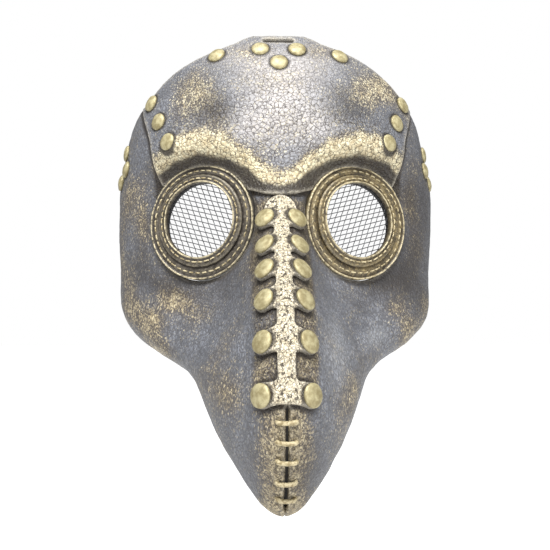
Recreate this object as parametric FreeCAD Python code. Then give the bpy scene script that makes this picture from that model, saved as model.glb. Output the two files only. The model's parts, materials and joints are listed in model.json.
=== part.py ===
import FreeCAD, Part
import math
import os

# Plague doctor mask, millimetres. Front is -Y, +Z is up, +X is the wearer's left.
# The origin is on the plane of the rear edge, at eye height, on the mid plane.

V = FreeCAD.Vector

# ---- driving dimensions --------------------------------------------------------------
PANEL_T = 2.4           # leather of the two face panels
OVERLAY_GAP = 0.2       # glue line under the forehead plate and the nose strip
OVERLAY_T = 2.2         # leather of the overlays
SEAM_GAP = 0.3          # where the two panels butt under an overlay
GROOVE_W = 2.6          # open seam down the front of the beak
GROOVE_TOP_Z = -84.0
BACKING_T = 2.0

EYE = V(41.9, -94.5, -0.4)
EYE_YAW = 24.8          # degrees outward
EYE_PITCH = 5.5         # degrees upward
BEZEL_R = 31.6
APERTURE_R = 20.4
REBATE_R = 26.8
BEZEL_BACK = -8.0      # rear end of the bezel's sleeve, along the eye axis
EDGE_BEAD = (30.2, 3.0)         # inner radius and height of the outer bead
OUTER_BAND_H = 2.4      # heights along the eye axis
INNER_RING_R = 25.6
INNER_BAND_H = 3.9
LIP_H = 4.9
REBATE_H = 1.2
OUTER_STITCHES = (44, 27.9)
INNER_STITCHES = (38, 22.9)
STITCH = (2.5, 0.9, 0.6)        # long, wide, proud
MESH_PITCH = 2.5
MESH_HOLE = 1.95
MESH_T = 0.6
RETAINER_T = 2.6
FIT = 0.15

RIVET_R = 4.9           # heads on the plate and the temples
NOSE_RIVET_R = 5.6
RIVET_DOME = 1.5
RIVET_RIM = 0.5
SHANK_R = 1.5
CAP_R = 3.4
CAP_T = 0.9

STRAP_SLOT = (17.4, 3.5)
TEMPLE_SLOT = (14.0, 3.5)
CROWN_SLOT_Z = 101.6
TEMPLE_SLOT_AT = (-33.0, 36.0)  # y, z

BAND_HALF = 3.5
RIB_R = 5.8
ARCH_R = 8.0            # rounded top of the strip
ARCH_Z = 5.0
STRIP_END_Z = -85.0
STAPLE_R = 1.05
STAPLE_HALF = 4.4

CROWN_RIVETS = [(-9.8, 94.2), (9.8, 94.2), (0.0, 85.6), (-33.4, 92.2), (33.4, 92.2)]
BROW_RIVETS = [(70.8, 68.0), (66.1, 55.9), (59.8, 42.8)]
TEMPLE_RIVETS = [(-43.0, 44.5), (-52.0, 33.5), (-42.5, 26.5)]  # y, z on the side
NOSE_RIVETS = [(6.8, -1.2), (7.4, -15.3), (8.0, -27.4), (8.5, -41.7), (9.0, -60.2), (9.3, -82.2)]
STAPLES_Z = [-93.1, -101.6, -110.4, -120.4, -129.0]

# ---- form of the left half: poles of one smooth surface -------------------------------
# Rows run from beyond the crown edge down to the beak tip. Columns run from the mid
# plane round to beyond the rear edge, and below the chin to the mid plane underneath.
TIP = (0, -160, -141.8)
FORM = [
    [(0, -68, 117), (8, -68, 117), (18, -67, 116), (31, -64, 114), (47, -58, 108),
     (63, -48, 99), (76, -36, 86), (87, -22, 73), (93, -8, 61), (96, 4, 53)],
    [(0, -84, 101), (8, -84, 101), (18, -83.5, 101), (32, -80, 99), (51, -73, 93),
     (69, -62, 84.5), (83, -48, 72), (91, -31, 58), (95, -12, 49), (96, 6, 43)],
    [(0, -96.5, 82), (8, -96.5, 82), (19, -96, 82), (34, -93, 80.5), (54, -86, 76),
     (73, -74, 68), (85, -57, 57.5), (92, -38, 47), (96, -15, 41), (97, 8, 36)],
    [(0, -104, 62), (8, -104, 62), (19, -103, 60.5), (34, -99.3, 57.5), (54, -90.5, 54),
     (71, -77.5, 49), (85, -60, 43), (93.5, -41, 36), (96.5, -17, 31), (96, 8, 27)],
    [(0, -107, 46), (8, -107, 46), (19, -107.5, 44), (32, -107, 43), (49, -104, 41.5),
     (66, -92.5, 38), (82, -70.5, 34), (95.5, -45, 28), (97.5, -18, 24), (96.5, 8, 21)],
    [(0, -109, 34), (8, -109, 34), (16, -106, 33), (27, -97.5, 31.5), (43, -87.5, 31),
     (61, -80, 29), (80, -71, 25), (97, -47, 21), (98.5, -18, 18), (97, 8, 15)],
    [(0, -111, 20), (7, -111, 20), (13, -106, 20), (21, -98.5, 20), (38, -92, 20),
     (57, -84.5, 19), (75, -77, 17), (97.5, -49, 13), (99, -18, 11), (97, 8, 9)],
    [(0, -117, 4), (8, -116, 4), (12.8, -108.5, 3), (19, -101, 3), (36, -95.5, 3),
     (55, -87.5, 3), (73.5, -80, 3), (97.5, -51, 2), (99, -18, 2), (97, 8, 1)],
    [(0, -137, -13), (8, -135, -13), (13, -120, -13.5), (20, -102.5, -14), (36, -96.8, -14),
     (55, -89.5, -14), (73.5, -81.5, -14), (97, -52, -10), (98.5, -18, -8), (96.5, 8, -6)],
    [(0, -156, -29), (8.2, -154, -29), (14.5, -140, -30), (23, -111, -31), (37, -98, -32),
     (55, -91, -32), (75, -81.5, -31), (96, -52, -24), (97.5, -18, -19), (95.5, 8, -15)],
    [(0, -172, -46), (8.4, -169.5, -46), (17.5, -152.5, -47), (28, -125.5, -49), (41, -105, -50),
     (57, -94, -49), (78, -79, -46), (95.5, -52, -39), (97, -18, -32), (95, 8, -26)],
    [(0, -184, -65), (9, -181, -65), (20.5, -162.5, -66), (33.2, -138, -67), (44, -116, -68),
     (59, -98, -67), (81, -80, -66), (97, -48, -59), (97, -16, -50), (95, 8, -42)],
    [(0, -190, -84), (9.5, -187, -84), (22.5, -168.5, -84), (35.6, -148, -84), (43.5, -126.5, -85),
     (44.5, -107, -85), (45, -86, -83), (64, -50, -81), (86, -16, -75), (92, 8, -66)],
    [(0, -190, -102), (9.5, -187, -102), (21.8, -171, -102), (32.2, -152.5, -102), (37.6, -131.5, -102),
     (36.5, -111, -102), (30, -94, -101), (19, -86, -100.5), (7, -84, -100), (-6, -84, -100)],
    [(0, -185, -117), (8, -182.5, -117), (17.8, -169.5, -117), (25.2, -154.5, -117), (27.6, -139.5, -117),
     (25, -127, -116), (19, -117, -114), (10, -111, -113), (2, -109, -112), (-6, -109, -112)],
    [(0, -177, -130), (6.3, -175, -130), (12.3, -167, -130), (16.8, -157.5, -130), (17.6, -149, -130),
     (15, -142, -129), (11, -136, -128), (6, -133, -127), (1, -132, -127), (-4, -132, -127)],
    [(0, -167, -141), (3.5, -166.5, -141), (6, -164, -141), (7.3, -161, -141), (7.3, -158.5, -141),
     (6.5, -156, -141), (4.5, -154, -140.5), (2.5, -152.5, -140), (0, -152, -140), (-2, -152, -140)],
    [TIP] * 10,
]

# Rear edge in side view, (y, z) from the chin up to the hairline.
REAR_EDGE = [(-90, -106), (-87, -96), (-79, -85), (-62, -81), (-45, -77.5), (-25, -68.5), (-8, -54),
             (0, -35), (0, -4), (-7, 10), (-18, 24), (-25, 36), (-31, 46), (-39, 56), (-49, 64), (-61, 72)]
# Crown edge in front view, (x, z) from the tab's corner out to the temple.
CROWN_EDGE = [(19.5, 104.9), (24.5, 102.3), (30, 100.3), (38, 97.6), (46, 94.4), (56, 89), (64, 83), (71, 76),
              (77, 69)]
TAB_HALF = 15.0
TAB_TOP_Z = 106.9
# Side edge of the forehead plate in front view, (x, z) from the temple corner to the bezel.
PLATE_SIDE = [(79, 66.0), (77.5, 60), (74, 50), (71.5, 40), (69, 30), (66, 22), (60, 14)]
PLATE_TONGUE = [(17.5, 16.5), (9, 14.2)]
PLATE_END_Z = 13.4

REACH = 300.0           # further than any part of the mask


def knots(poles):
    return [i / (poles - 3) for i in range(poles - 2)]


def spline_surface(poles):
    rows, columns = len(poles), len(poles[0])
    surface = Part.BSplineSurface()
    surface.buildFromPolesMultsKnots(
        poles,
        [4] + [1] * (rows - 4) + [4],
        [4] + [1] * (columns - 4) + [4],
        knots(rows), knots(columns), False, False, 3, 3)
    return surface


BASE_POLES = [[V(*p) for p in row] for row in FORM]
BASE = spline_surface(BASE_POLES)


def pole_parameter(index, poles):
    """Where along the surface a pole pulls hardest."""
    k = [0.0] * 3 + knots(poles) + [1.0] * 3
    return (k[index + 1] + k[index + 2] + k[index + 3]) / 3


def outward(u, v):
    normal = BASE.normal(u, v)
    return normal if normal.dot(BASE.value(u, v) - V(0, -60, -20)) > 0 else normal.negative()


def offset_poles(height):
    """Poles of the form moved out (or in, when negative) along the surface normals."""
    rows, columns = len(FORM), len(FORM[0])
    moved = []
    for i, row in enumerate(BASE_POLES):
        line = []
        for j, pole in enumerate(row):
            if i == rows - 1:
                direction = V(0, -0.1, -1).normalize()
            else:
                direction = outward(pole_parameter(i, rows), pole_parameter(j, columns))
            if j == 0:
                direction = V(0, direction.y, direction.z).normalize()
            line.append(pole + direction * height)
        moved.append(line)
    return moved


def closed_solid(faces):
    shell = Part.makeShell(faces)
    shell.sewShape()
    solid = Part.makeSolid(Part.Shell(shell.Faces))
    if solid.Volume < 0:
        solid.reverse()
    return solid


def layer(low, high):
    """The left half of a leather layer between two heights over the form, untrimmed."""
    surfaces = [spline_surface(offset_poles(h)) for h in (low, high)]
    faces = [s.toShape() for s in surfaces]
    for side in ("top", "mid", "rear"):
        edges = []
        for s in surfaces:
            if side == "top":
                curve = s.uIso(0.0)
            elif side == "mid":
                curve = s.vIso(0.0)
            else:
                curve = s.vIso(1.0)
            edges.append(curve.toShape())
        faces.append(Part.makeRuledSurface(edges[0], edges[1]))
    return closed_solid(faces)


def mirrored(shape):
    return shape.mirror(V(0, 0, 0), V(1, 0, 0))


def curve_through(points):
    curve = Part.BSplineCurve()
    curve.interpolate(points)
    return curve.toShape()


def polygon_edges(points):
    return [Part.makeLine(a, b) for a, b in zip(points, points[1:])]


def prism(edges, direction):
    return Part.Face(Part.Wire(edges)).extrude(direction)


def side_keep():
    """Everything in front of the rear edge."""
    points = [V(-REACH, y, z) for y, z in REAR_EDGE]
    corners = [points[-1], V(-REACH, -50, 90), V(-REACH, -50, 140), V(-REACH, -REACH, 140),
               V(-REACH, -REACH, -170), V(-REACH, -70, -170), V(-REACH, -70, -106), points[0]]
    return prism([curve_through(points)] + polygon_edges(corners), V(2 * REACH, 0, 0))


def crown_keep():
    """Everything below the crown edge, with the tab in the middle."""
    right = [V(x, -REACH, z) for x, z in CROWN_EDGE]
    left = [V(-x, -REACH, z) for x, z in CROWN_EDGE]
    tab = [left[0], V(-TAB_HALF, -REACH, TAB_TOP_Z), V(TAB_HALF, -REACH, TAB_TOP_Z), right[0]]
    rest = [right[-1], V(140, -REACH, 66), V(140, -REACH, -170), V(-140, -REACH, -170),
            V(-140, -REACH, 66), left[-1]]
    edges = [curve_through(right)] + polygon_edges(rest)
    edges += [curve_through(left[::-1])] + polygon_edges(tab)
    return prism(edges, V(0, REACH, 0))


def plate_keep():
    """The forehead plate's outline in front view."""
    side = [V(x, -REACH, z) for x, z in PLATE_SIDE]
    half = [V(0, -REACH, 140), V(side[0].x, -REACH, 140), side[0]]
    tongue = [side[-1], V(40, -REACH, 4), V(22, -REACH, 8)]
    tongue += [V(x, -REACH, z) for x, z in PLATE_TONGUE] + [V(0, -REACH, PLATE_END_Z)]
    edges = polygon_edges(half) + [curve_through(side)] + polygon_edges(tongue)
    edges.append(Part.makeLine(tongue[-1], half[0]))
    right = prism(edges, V(0, REACH, 0))
    return right.fuse(mirrored(right))


def box(x0, x1, y0, y1, z0, z1):
    return Part.makeBox(x1 - x0, y1 - y0, z1 - z0, V(x0, y0, z0))


def on_form(x, z):
    """Point and outward normal where a line of sight from the front meets the form."""
    hits = Part.LineSegment(V(x, -REACH, z), V(x, 0, z)).intersectCS(BASE)[0]
    return normal_at(min(hits, key=lambda p: p.Y))


def on_side(y, z):
    """Point and outward normal where a line from the left side meets the form."""
    hits = Part.LineSegment(V(REACH, y, z), V(0, y, z)).intersectCS(BASE)[0]
    return normal_at(max(hits, key=lambda p: p.X))


def normal_at(hit):
    point = V(hit.X, hit.Y, hit.Z)
    return point, outward(*BASE.parameter(point))


def to_axis(shape, origin, axis):
    """Stand a shape modelled along +Z on a point, along an axis."""
    placed = shape.copy()
    placed.Placement = FreeCAD.Placement(origin, FreeCAD.Rotation(V(0, 0, 1), axis))
    return placed


def eye_axis():
    yaw, pitch = math.radians(EYE_YAW), math.radians(EYE_PITCH)
    return V(math.sin(yaw) * math.cos(pitch), -math.cos(yaw) * math.cos(pitch), math.sin(pitch))


def eye_frame():
    """Placement of the left eye: local Z out along the eye axis, local Y up."""
    out = eye_axis()
    across = V(0, 0, 1).cross(out).normalize()
    up = out.cross(across)
    return FreeCAD.Placement(FreeCAD.Matrix(
        across.x, up.x, out.x, EYE.x,
        across.y, up.y, out.y, EYE.y,
        across.z, up.z, out.z, EYE.z,
        0, 0, 0, 1))


def at_eye(shape):
    placed = shape.copy()
    placed.Placement = eye_frame()
    return placed


def revolved(profile):
    """Solid of revolution about Z from (radius, height) corners."""
    points = [V(r, 0, h) for r, h in profile]
    return Part.Face(Part.makePolygon(points + points[:1])).revolve(V(0, 0, 0), V(0, 0, 1), 360)


def rivet(place, seat, radius=RIVET_R):
    """Domed head on the leather and a shank through it."""
    point, normal = place
    ball_r = (radius ** 2 + RIVET_DOME ** 2) / (2 * RIVET_DOME)
    dome_base = seat + RIVET_RIM
    ball = Part.makeSphere(ball_r, V(0, 0, dome_base + RIVET_DOME - ball_r))
    head = ball.common(Part.makeCylinder(radius, 10, V(0, 0, dome_base)))
    rim = Part.makeCylinder(radius, RIVET_RIM, V(0, 0, seat))
    shank = Part.makeCylinder(SHANK_R, seat + PANEL_T + 2.6, V(0, 0, -PANEL_T - 2.6))
    return to_axis(head.fuse([rim, shank]).removeSplitter(), point, normal)


def rivet_hole(place):
    point, normal = place
    return to_axis(Part.makeCylinder(SHANK_R + FIT, 16, V(0, 0, -8)), point, normal)


def cap(place, depth):
    """Washer on the shank behind the leather."""
    point, normal = place
    ring = Part.makeCylinder(CAP_R, CAP_T, V(0, 0, -depth - CAP_T))
    ring = ring.cut(Part.makeCylinder(SHANK_R + FIT, CAP_T + 2, V(0, 0, -depth - CAP_T - 1)))
    return to_axis(ring, point, normal)


def bezel():
    """Flanged sleeve with a raised bead round its edge and a rebate behind."""
    bead_r, bead_h = EDGE_BEAD
    bore_r = APERTURE_R + 0.4
    return revolved([
        (REBATE_R, BEZEL_BACK), (BEZEL_R, BEZEL_BACK), (BEZEL_R, bead_h - 0.6),
        (BEZEL_R - 0.6, bead_h), (bead_r, bead_h - 0.3), (bead_r - 0.3, OUTER_BAND_H),
        (bore_r, OUTER_BAND_H), (bore_r, REBATE_H), (REBATE_R, REBATE_H)])


def inner_ring():
    """Second ring laid on the bezel, with a lip round the aperture."""
    base = OUTER_BAND_H + 0.05
    lip_r = APERTURE_R + 1.3
    return revolved([
        (APERTURE_R, base), (INNER_RING_R, base), (INNER_RING_R - 0.2, INNER_BAND_H),
        (lip_r, INNER_BAND_H), (lip_r - 0.2, LIP_H), (APERTURE_R, LIP_H - 0.3)])


def ring_of_stitches(count, radius, height):
    long, wide, proud = STITCH
    one = Part.makeBox(wide, long, proud, V(radius - wide / 2, -long / 2, height + 0.02))
    ring = []
    for i in range(count):
        stitch = one.copy()
        stitch.rotate(V(0, 0, 0), V(0, 0, 1), 360 * i / count)
        ring.append(stitch)
    return ring


def mesh_disc():
    """A disc of square-mesh wire cloth."""
    top = REBATE_H - FIT
    radius = REBATE_R - FIT
    wires = [Part.Wire(Part.makeCircle(radius, V(0, 0, top - MESH_T)))]
    cells = int(APERTURE_R // MESH_PITCH) + 1
    half = MESH_HOLE / 2
    for i in range(-cells, cells + 1):
        for j in range(-cells, cells + 1):
            x, y = i * MESH_PITCH, j * MESH_PITCH
            if math.hypot(x, y) > APERTURE_R + MESH_PITCH / 2:
                continue
            corners = [V(x + a * half, y + b * half, top - MESH_T)
                       for a, b in ((-1, -1), (1, -1), (1, 1), (-1, 1), (-1, -1))]
            wires.append(Part.makePolygon(corners))
    return Part.Face(wires, "Part::FaceMakerBullseye").extrude(V(0, 0, MESH_T))


def retainer():
    top = REBATE_H - MESH_T - 2 * FIT
    radius = REBATE_R - FIT
    return revolved([(APERTURE_R + 1.5, top - RETAINER_T), (radius, top - RETAINER_T),
                     (radius, top), (APERTURE_R + 1.5, top)])


def capsule_slot(length, width, depth):
    """A slot with round ends, long along local X, cut along local Z."""
    half = length / 2 - width / 2
    tool = Part.makeBox(2 * half, width, 2 * depth, V(-half, -width / 2, -depth))
    for side in (-1, 1):
        tool = tool.fuse(Part.makeCylinder(width / 2, 2 * depth, V(side * half, 0, -depth)))
    return tool.removeSplitter()


def crown_slot():
    """The slot in the crown tab."""
    point, normal = on_form(0, CROWN_SLOT_Z)
    tool = capsule_slot(*STRAP_SLOT, 12)
    tool.Placement = FreeCAD.Placement(point, FreeCAD.Rotation(V(0, 0, 1), normal))
    return tool


def temple_slot():
    """The upright slot at the left temple."""
    point, normal = on_side(*TEMPLE_SLOT_AT)
    up = (V(0, 0, 1) - normal * normal.z).normalize()
    across = normal.cross(up)
    tool = capsule_slot(*TEMPLE_SLOT, 12)
    tool.Placement = FreeCAD.Placement(FreeCAD.Matrix(
        up.x, across.x * -1, normal.x, point.x,
        up.y, across.y * -1, normal.y, point.y,
        up.z, across.z * -1, normal.z, point.z,
        0, 0, 0, 1))
    return tool


def rib_tools(place):
    """The round end under a rivet and the neck that joins it to the band."""
    point, normal = place
    crest = [on_form(0, point.z + 0.5 * step)[0] for step in range(-2, 28)]
    nearest = min(crest, key=point.distanceToPoint)
    inward = nearest - point
    inward = (inward - normal * inward.dot(normal)).normalize()
    end = to_axis(Part.makeCylinder(RIB_R, 12, V(0, 0, -4)), point, normal)
    neck = Part.makeBox(point.distanceToPoint(nearest), 2 * RIB_R - 1, 16, V(0, -RIB_R + 0.5, -8))
    side = normal.cross(inward)
    neck.Placement = FreeCAD.Placement(FreeCAD.Matrix(
        inward.x, side.x, normal.x, point.x,
        inward.y, side.y, normal.y, point.y,
        inward.z, side.z, normal.z, point.z,
        0, 0, 0, 1))
    return [end, neck]


def staple(z):
    """One lacing stitch bowed over the open seam."""
    lift = STAPLE_R + 0.12
    points = []
    for x in (-STAPLE_HALF, 0, STAPLE_HALF):
        point, normal = on_form(abs(x), z)
        if x < 0:
            point, normal = V(-point.x, point.y, point.z), V(-normal.x, normal.y, normal.z)
        if x == 0:
            normal = V(0, normal.y, normal.z).normalize()
        points.append(point + normal * lift)
    arc = Part.Arc(*points)
    start = arc.tangent(arc.FirstParameter)[0]
    section = Part.Wire(Part.makeCircle(STAPLE_R, points[0], start))
    pipe = Part.Wire(arc.toShape()).makePipeShell([section], True, False)
    for end in (points[0], points[2]):
        pipe = pipe.fuse(Part.makeSphere(STAPLE_R, end))
    return pipe.removeSplitter()


def solids_of(shape):
    return sorted(shape.Solids, key=lambda s: -s.Volume)


def main():
    parts = {}

    nose = [on_form(x, z) for x, z in NOSE_RIVETS]
    brow = [on_form(x, z) for x, z in BROW_RIVETS]
    temple = [on_side(y, z) for y, z in TEMPLE_RIVETS]
    crown = []
    for x, z in CROWN_RIVETS:
        point, normal = on_form(abs(x), z)
        side = -1 if x < 0 else 1
        crown.append((V(side * point.x, point.y, point.z), V(side * normal.x, normal.y, normal.z)))
    left_places = nose + brow + temple
    holes = [rivet_hole(p) for p in left_places]
    holes += [mirrored(h) for h in holes] + [rivet_hole(p) for p in crown]

    keep = side_keep().common(crown_keep())
    eye_bore = at_eye(Part.makeCylinder(BEZEL_R + FIT, 60, V(0, 0, -30)))

    # face panels
    panel = layer(-PANEL_T, 0).common(keep)
    near_seam = box(-20, SEAM_GAP / 2, -REACH, REACH, -REACH, REACH)
    groove = box(-20, GROOVE_W / 2, -REACH, -150, -138.5, GROOVE_TOP_Z)
    panel = panel.cut([near_seam, groove, eye_bore, temple_slot(), crown_slot()] + holes)
    panel = solids_of(panel)[0]
    parts["face_panel_left"] = panel
    parts["face_panel_right"] = mirrored(panel)

    # overlays
    low, high = OVERLAY_GAP, OVERLAY_GAP + OVERLAY_T
    half = layer(low, high).common(keep)
    whole = half.fuse(mirrored(half)).removeSplitter()
    plate = whole.common(plate_keep())
    plate = plate.cut([eye_bore, mirrored(eye_bore), crown_slot()] + holes)
    parts["forehead_plate"] = solids_of(plate)[0]

    band = box(-BAND_HALF, BAND_HALF, -REACH, -100, STRIP_END_Z, ARCH_Z)
    arch = to_axis(Part.makeCylinder(ARCH_R, 12, V(0, 0, -4)), *on_form(0, ARCH_Z))
    tools = [band, arch]
    for place in nose:
        for tool in rib_tools(place):
            tools += [tool, mirrored(tool)]
    shape = tools[0].fuse(tools[1:])
    strip = whole.common(shape).cut(holes)
    parts["nose_strip"] = solids_of(strip)[0]

    # seam backing inside the beak
    inner = layer(-PANEL_T - FIT - BACKING_T, -PANEL_T - FIT)
    tape = inner.common(box(0, 6, -REACH, REACH, -134, GROOVE_TOP_Z - 3)).common(keep)
    tape = tape.fuse(mirrored(tape)).removeSplitter()
    parts["beak_seam_backing"] = Part.makeCompound(solids_of(tape)[:2])

    parts["beak_stitches"] = Part.makeCompound([staple(z) for z in STAPLES_Z])

    # temple patches inside, behind the strap slots
    point, normal = on_side(*TEMPLE_SLOT_AT)
    patch_shape = to_axis(Part.makeCylinder(19, 20, V(0, 0, -12)), point, normal)
    patch_shape = patch_shape.common(box(0, 200, -58.5, -27, 18.5, 54.5))
    patch = inner.common(patch_shape).common(keep).cut([temple_slot()] + holes)
    parts["temple_patch_left"] = solids_of(patch)[0]

    # eyes
    parts["eye_bezel_left"] = at_eye(bezel())
    parts["eye_inner_ring_left"] = at_eye(inner_ring())
    count, radius = OUTER_STITCHES
    stitches = ring_of_stitches(count, radius, OUTER_BAND_H)
    count, radius = INNER_STITCHES
    stitches += ring_of_stitches(count, radius, INNER_BAND_H)
    parts["bezel_stitches_left"] = at_eye(Part.makeCompound(stitches))
    parts["eye_mesh_left"] = at_eye(mesh_disc())
    parts["mesh_retainer_left"] = at_eye(retainer())

    # rivets and their caps
    on_overlay = high + 0.15
    parts["crown_rivets"] = Part.makeCompound([rivet(p, on_overlay) for p in crown])
    parts["crown_rivet_caps"] = Part.makeCompound([cap(p, PANEL_T + 0.3) for p in crown])
    parts["brow_rivets_left"] = Part.makeCompound([rivet(p, on_overlay) for p in brow])
    parts["brow_rivet_caps_left"] = Part.makeCompound([cap(p, PANEL_T + 0.95) for p in brow])
    parts["temple_rivets_left"] = Part.makeCompound([rivet(p, 0.15) for p in temple])
    behind_patch = PANEL_T + BACKING_T + 0.5
    parts["temple_rivet_caps_left"] = Part.makeCompound([cap(p, behind_patch) for p in temple])
    parts["nose_rivets_left"] = Part.makeCompound([rivet(p, on_overlay, NOSE_RIVET_R) for p in nose])
    parts["nose_rivet_caps_left"] = Part.makeCompound([cap(p, PANEL_T + 0.8) for p in nose])

    for name in [n for n in parts if n.endswith("_left") and n != "face_panel_left"]:
        parts[name.replace("_left", "_right")] = mirrored(parts[name])

    os.makedirs("parts", exist_ok=True)
    for name, shape in parts.items():
        shape.exportStep(f"parts/{name}.step")
        print(name, "solids", len(shape.Solids), "valid", shape.isValid(), "volume", round(shape.Volume))


main()
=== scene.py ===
import json
import math

import bmesh
import bpy
import numpy as np
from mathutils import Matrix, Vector


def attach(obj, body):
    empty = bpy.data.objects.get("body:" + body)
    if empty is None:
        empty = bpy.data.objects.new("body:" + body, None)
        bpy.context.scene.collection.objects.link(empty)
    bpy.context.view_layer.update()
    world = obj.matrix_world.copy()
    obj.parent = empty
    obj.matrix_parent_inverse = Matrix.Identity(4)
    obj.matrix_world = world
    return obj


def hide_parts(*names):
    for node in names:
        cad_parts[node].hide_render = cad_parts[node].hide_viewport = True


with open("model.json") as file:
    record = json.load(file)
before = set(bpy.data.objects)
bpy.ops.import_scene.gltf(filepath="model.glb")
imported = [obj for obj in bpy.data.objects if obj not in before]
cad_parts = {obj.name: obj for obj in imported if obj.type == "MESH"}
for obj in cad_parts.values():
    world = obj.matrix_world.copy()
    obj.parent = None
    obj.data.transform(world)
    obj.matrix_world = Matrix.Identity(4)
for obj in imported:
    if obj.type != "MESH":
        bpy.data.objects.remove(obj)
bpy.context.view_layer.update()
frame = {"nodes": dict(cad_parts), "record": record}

# A riveted leather plague doctor mask. Front is -Y, +Z is up, +X is the wearer's left.
# Lengths in this script are millimetres, and MM turns them into metres.

MM = 0.001
NODES = frame["nodes"]
MOUNTS = {m["name"]: m for m in frame["record"]["mounts"]}
SIDES = {"left": 1, "right": -1}

# ---- sizes ----
PANEL_T = 2.4
OVERLAY_GAP = 0.2
OVERLAY_T = 2.2
EDGE_ROUND = 0.9
RIM_WEAR = 1.3              # width of the rubbed band inside an edge
SEAM_HALF = 0.15
GROOVE_HALF = 1.3
GROOVE_TOP_Z = -84.0
GROOVE_OPENS_Z = -85.3
GROOVE_END_Z = -138.0
GROOVE_FRONT_Y = -150.0     # the open seam lies in front of this
BORE_GAP = 0.15
BORE_DEPTH = 25.0           # how far from its middle a bore or a slot cuts
SLOT_DEPTH = 12.0
FAR = 50.0                  # a distance from an outline that is not near
SLOT_WIDTH = 3.5
CROWN_SLOT_LENGTH = 17.4
TEMPLE_SLOT_LENGTH = 14.0
RIVET_R = 4.9
NOSE_RIVET_R = 5.6
BEAD_TOP = 3.0
WIRE_R = 0.23
WIRE_LAYS = [               # turn of the wires, their pitch, the pitch of those they cross
    (13.0, 2.5, 3.3),
    (67.0, 3.1, 2.9)]
WIRE_REACH = 22.5
MESH_LEVEL = 0.75
BAND_HALF = 3.5
RIB_HALF = 5.8
RIB_BLEND = 3.0
ARCH_R = 8.0
ARCH_Z = 5.0
STAPLE_R = 1.05
STAPLE_HALF = 4.5
PANEL_SEAT = 0.6            # height of a rivet head over the form
OVERLAY_SEAT = OVERLAY_GAP + OVERLAY_T + 0.5
PANEL_STEPS = (0.85, 1.3)   # grid step of a piece, and its coarser step when quick is set
PLATE_STEPS = (0.72, 1.2)
STRIP_STEPS = (0.42, 0.75)

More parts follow.
